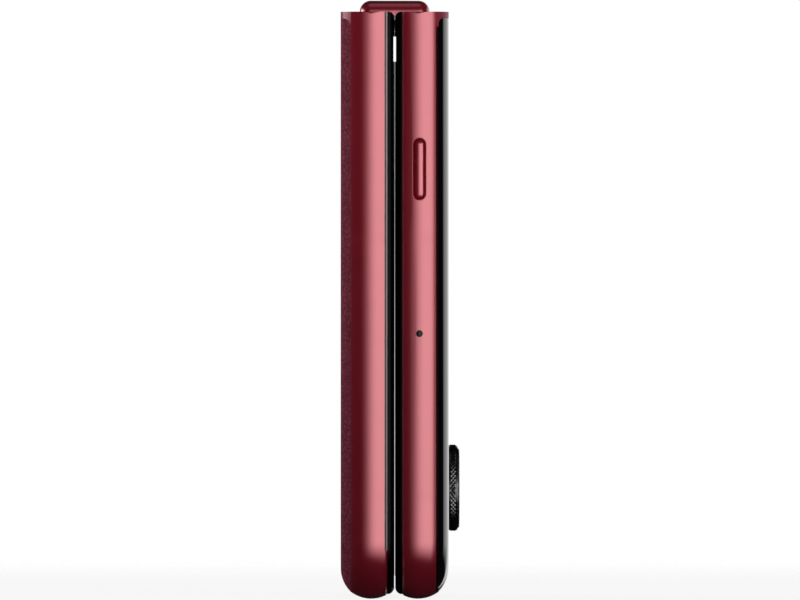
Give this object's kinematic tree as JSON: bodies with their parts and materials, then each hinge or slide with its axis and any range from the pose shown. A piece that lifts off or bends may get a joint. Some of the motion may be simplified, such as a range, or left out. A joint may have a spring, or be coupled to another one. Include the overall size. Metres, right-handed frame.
{
  "type": "flip phone",
  "caption": "Clamshell flip phone shown shut, with a dual-axis geared hinge, a folding inner display, leather and glass covers, sprung side keys and a sliding card tray.",
  "frame": {"origin": "middle of the base of the bounding box of the shut phone, on the line its free ends stand on", "axes": "+X out of the cover glass, +Y across the width towards the power button, +Z from the free ends to the hinge"},
  "size_m": [0.0176, 0.0746, 0.0881],
  "materials": {
    "red_anodised": "satin crimson anodised aluminium",
    "red_leather": "fine-grained dark wine-red leather",
    "black_rim": "gloss black",
    "display": "dark glossy flexible display",
    "display_plate": "brushed support sheet",
    "cover_glass": "black-backed gloss glass",
    "cover_display": "dark",
    "antenna_plastic": "satin red plastic",
    "battery": "black foil-laminate pouch",
    "circuit_board": "green solder mask",
    "steel": "satin steel",
    "black_plastic": "moulded",
    "gold_contacts": "gold plated",
    "black_metal": "black anodised, diamond knurled",
    "lens_glass": "coated lens window",
    "flash_lens": "frosted lens"
  },
  "bodies": {
    "lower_half": {"lower_frame": "red_anodised", "lower_back_cover": "red_leather", "lower_rim": "black_rim", "lower_display": "display", "lower_display_plate": "display_plate", "lower_antenna_breaks": "antenna_plastic", "lower_battery": "battery", "lower_board": "circuit_board", "usb_port": "steel", "loudspeaker": "black_plastic", "vibration_motor": "steel", "lower_hinge_arms": "steel", "lower_screws": "steel"},
    "hinge_spine": {"spine_cover": "red_anodised", "spine_base": "steel", "spine_end_plates": "steel", "hinge_pins": "steel", "detent_springs": "steel", "display_fold": "display"},
    "upper_half": {"upper_frame": "red_anodised", "cover_glass": "cover_glass", "cover_display": "cover_display", "upper_rim": "black_rim", "upper_display": "display", "upper_display_plate": "display_plate", "upper_antenna_breaks": "antenna_plastic", "upper_battery": "battery", "main_board": "circuit_board", "board_shield": "steel", "main_camera_ring": "black_metal", "wide_camera_ring": "black_metal", "main_camera_window": "lens_glass", "wide_camera_window": "lens_glass", "main_camera_module": "black_plastic", "wide_camera_module": "black_plastic", "flash_lamp": "flash_lens", "selfie_camera": "black_plastic", "earpiece": "black_plastic", "key_switches": "gold_contacts", "upper_hinge_arms": "steel", "upper_screws": "steel"},
    "lower_wing": {"lower_wing_plate": "steel"},
    "upper_wing": {"upper_wing_plate": "steel"},
    "side_key": {"side_key": "red_anodised"},
    "power_button": {"power_button": "red_anodised"},
    "volume_rocker": {"volume_rocker": "red_anodised"},
    "sim_tray": {"sim_tray": "red_anodised", "sim_card": "gold_contacts"}
  },
  "joints": [
    {"name": "lower_hinge", "type": "hinge", "parent": "lower_half", "child": "hinge_spine", "pos_m": [-0.0018, 0, 0.08558], "axis": [0, -1, 0], "range_deg": [0, 90], "deforming": ["display_fold"]},
    {"name": "upper_hinge", "type": "hinge", "parent": "hinge_spine", "child": "upper_half", "pos_m": [0.0001, 0, 0.08558], "axis": [0, -1, 0], "range_deg": [0, 90], "deforming": ["display_fold"]},
    {"name": "lower_wing_tilt", "type": "hinge", "parent": "lower_half", "child": "lower_wing", "pos_m": [-0.00173, 0, 0.07883], "axis": [0, 1, 0], "range_deg": [0, 16]},
    {"name": "upper_wing_tilt", "type": "hinge", "parent": "upper_half", "child": "upper_wing", "pos_m": [0.00003, 0, 0.07883], "axis": [0, -1, 0], "range_deg": [0, 16]},
    {"name": "side_key_press", "type": "slide", "parent": "upper_half", "child": "side_key", "axis": [0, 1, 0], "range_m": [0, 0.00025], "stiffness_N_per_m": 1500, "springref_m": -0.0002},
    {"name": "power_button_press", "type": "slide", "parent": "upper_half", "child": "power_button", "axis": [0, -1, 0], "range_m": [0, 0.00025], "stiffness_N_per_m": 1500, "springref_m": -0.0002},
    {"name": "volume_rocker_press", "type": "slide", "parent": "upper_half", "child": "volume_rocker", "axis": [0, -1, 0], "range_m": [0, 0.00025], "stiffness_N_per_m": 1500, "springref_m": -0.0002},
    {"name": "sim_tray_slide", "type": "slide", "parent": "lower_half", "child": "sim_tray", "axis": [0, 0, -1], "range_m": [0, 0.02]}
  ],
  "couplings": [
    {"joint": "upper_hinge", "follows": "lower_hinge", "ratio": 1},
    {"joint": "lower_wing_tilt", "follows": "lower_hinge", "ratio": 0.1777},
    {"joint": "upper_wing_tilt", "follows": "lower_hinge", "ratio": 0.1777}
  ]
}
